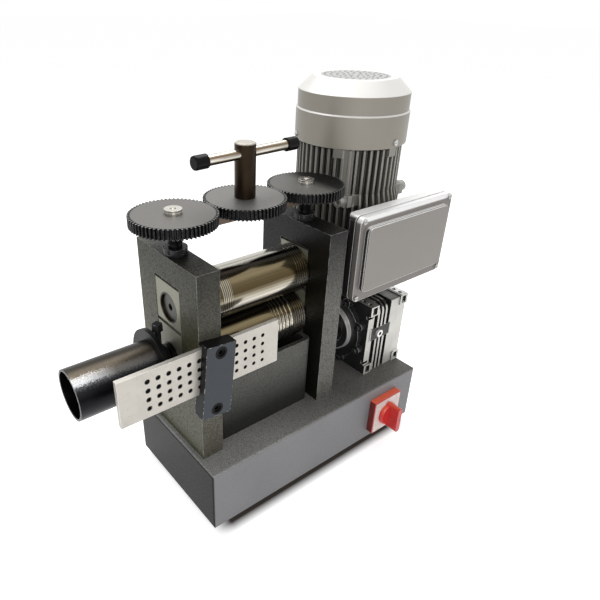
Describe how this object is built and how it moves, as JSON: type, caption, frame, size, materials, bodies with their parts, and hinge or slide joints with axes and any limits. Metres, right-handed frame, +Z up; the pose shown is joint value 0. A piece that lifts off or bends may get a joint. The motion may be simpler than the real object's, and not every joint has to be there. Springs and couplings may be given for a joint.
{
  "type": "rolling mill",
  "caption": "Electric bench rolling mill: polished rollers between steel pillars, geared press screws with a T-handle, draw plate, winding drum, upright motor on a worm gearbox.",
  "frame": {"origin": "on the table under the middle of the whole machine, at the feet's undersides", "axes": "+X from the winding drum to the motor along the rollers, +Y from the front with the draw plate to the back, +Z up"},
  "size_m": [0.5542, 0.2618, 0.52],
  "materials": {
    "hammertone": "dark grey hammertone paint",
    "zinc_steel": "zinc-plated steel",
    "black_rubber": "black rubber",
    "cast_block": "machined and painted cast iron",
    "bronze": "bearing bronze",
    "black_oxide": "black oxide, satin",
    "polished_roller": "hardened and polished steel",
    "black_drum": "glossy black paint",
    "brown_steel": "browned steel",
    "post_steel": "browned steel, worn bright",
    "bright_steel": "bright plated steel",
    "black_plastic": "black plastic",
    "holder_black": "black paint over steel, chipped at the edges",
    "plate_steel": "ground steel",
    "cast_alloy": "cast aluminium",
    "turned_alloy": "machined aluminium",
    "motor_grey": "grey motor paint",
    "cowl_grey": "warm grey satin paint",
    "laminations": "laminated iron with varnished windings",
    "plain_steel": "turned steel",
    "box_alloy": "die-cast aluminium, satin",
    "grey_rubber": "dark rubber seal",
    "pale_plastic": "pale plastic",
    "red_plastic": "red plastic"
  },
  "bodies": {
    "frame": {"base_shell": "hammertone", "bottom_plate": "zinc_steel", "feet": "black_rubber", "foot_screws": "zinc_steel", "base_bolts": "zinc_steel", "left_pillar": "hammertone", "right_pillar": "hammertone", "roller_guard": "hammertone", "lower_blocks": "cast_block", "lower_bushes": "bronze", "springs": "zinc_steel", "screw_collars": "black_oxide", "plate_holder": "holder_black", "holder_screw": "black_oxide", "gearbox_housing": "cast_alloy", "output_cover": "turned_alloy", "cover_bolts": "black_oxide", "oil_plug": "bright_steel", "bearings": "bright_steel", "motor_frame": "motor_grey", "lower_shield": "motor_grey", "upper_shield": "motor_grey", "stator": "laminations", "fan_cowl": "cowl_grey", "cowl_screws": "zinc_steel", "box_body": "box_alloy", "box_gasket": "grey_rubber", "box_lid": "box_alloy", "lid_screws": "zinc_steel", "capacitors": "pale_plastic", "switch_body": "black_plastic", "switch_frame": "red_plastic", "switch_face": "pale_plastic"},
    "carriage": {"upper_blocks": "cast_block", "upper_bushes": "bronze", "bridge_bar": "brown_steel"},
    "upper_roll": {"upper_roller": "polished_roller", "upper_drive_gear": "black_oxide"},
    "lower_roll": {"lower_roller": "polished_roller", "lower_drive_gear": "black_oxide", "drum_tube": "black_drum", "drum_hub": "black_drum"},
    "drum_clamp": {"drum_screw": "black_oxide"},
    "screw_left": {"left_screw": "bright_steel", "left_screw_gear": "black_oxide"},
    "screw_right": {"right_screw": "bright_steel", "right_screw_gear": "black_oxide"},
    "handle": {"centre_gear": "black_oxide", "handle_post": "post_steel"},
    "handle_bar": {"sliding_bar": "bright_steel", "bar_caps": "black_plastic"},
    "plate": {"draw_plate": "plate_steel"},
    "plate_clamp": {"plate_clamp_screw": "black_oxide"},
    "output": {"worm_wheel": "bronze", "output_shaft": "plain_steel", "output_gear": "black_oxide"},
    "motor_rotor": {"rotor": "plain_steel", "worm": "plain_steel", "fan": "black_plastic"},
    "knob": {"switch_knob": "red_plastic"}
  },
  "joints": [
    {"name": "handle_turn", "type": "hinge", "parent": "carriage", "child": "handle", "pos_m": [-0.0387, 0.0029, 0.4066], "axis": [0, 0, 1], "range_deg": [-541, 289]},
    {"name": "press_slide", "type": "slide", "parent": "frame", "child": "carriage", "axis": [0, 0, 1], "range_m": [-0.0016, 0.003], "deforming": ["springs"]},
    {"name": "left_screw_turn", "type": "hinge", "parent": "carriage", "child": "screw_left", "pos_m": [-0.1347, 0.0029, 0.4066], "axis": [0, 0, 1], "range_deg": [-289, 541]},
    {"name": "right_screw_turn", "type": "hinge", "parent": "carriage", "child": "screw_right", "pos_m": [0.0573, 0.0029, 0.4066], "axis": [0, 0, 1], "range_deg": [-289, 541]},
    {"name": "handle_bar_slide", "type": "slide", "parent": "handle", "child": "handle_bar", "axis": [0.9976, 0.0698, 0], "range_m": [-0.0505, 0.042]},
    {"name": "motor_spin", "type": "hinge", "parent": "frame", "child": "motor_rotor", "pos_m": [0.1831, 0.0529, 0.1672], "axis": [0, 0, 1], "continuous": true},
    {"name": "output_spin", "type": "hinge", "parent": "frame", "child": "output", "pos_m": [0.1831, 0.0029, 0.1672], "axis": [1, 0, 0], "continuous": true},
    {"name": "lower_roll_spin", "type": "hinge", "parent": "frame", "child": "lower_roll", "pos_m": [-0.0387, 0.0029, 0.226], "axis": [1, 0, 0], "continuous": true},
    {"name": "upper_roll_spin", "type": "hinge", "parent": "carriage", "child": "upper_roll", "pos_m": [-0.0387, 0.0029, 0.2938], "axis": [1, 0, 0], "continuous": true},
    {"name": "drum_clamp_turn", "type": "hinge", "parent": "lower_roll", "child": "drum_clamp", "pos_m": [-0.1651, 0.0029, 0.2635], "axis": [0, 0, 1], "range_deg": [0, 720]},
    {"name": "plate_slide", "type": "slide", "parent": "frame", "child": "plate", "axis": [1, 0, 0], "range_m": [-0.07, 0.08]},
    {"name": "plate_clamp_turn", "type": "hinge", "parent": "frame", "child": "plate_clamp", "pos_m": [-0.13114, -0.0756, 0.26918], "axis": [0, -1, 0], "range_deg": [0, 720]},
    {"name": "switch_turn", "type": "hinge", "parent": "frame", "child": "knob", "pos_m": [0.1536, -0.1076, 0.0575], "axis": [0, 1, 0], "range_deg": [-60, 60]}
  ],
  "couplings": [
    {"joint": "handle_turn", "follows": "press_slide", "rad_per_m": -3141.6},
    {"joint": "left_screw_turn", "follows": "press_slide", "rad_per_m": 3141.6},
    {"joint": "right_screw_turn", "follows": "press_slide", "rad_per_m": 3141.6},
    {"joint": "output_spin", "follows": "motor_spin", "ratio": -0.02},
    {"joint": "lower_roll_spin", "follows": "motor_spin", "ratio": 0.015},
    {"joint": "upper_roll_spin", "follows": "motor_spin", "ratio": -0.015}
  ]
}
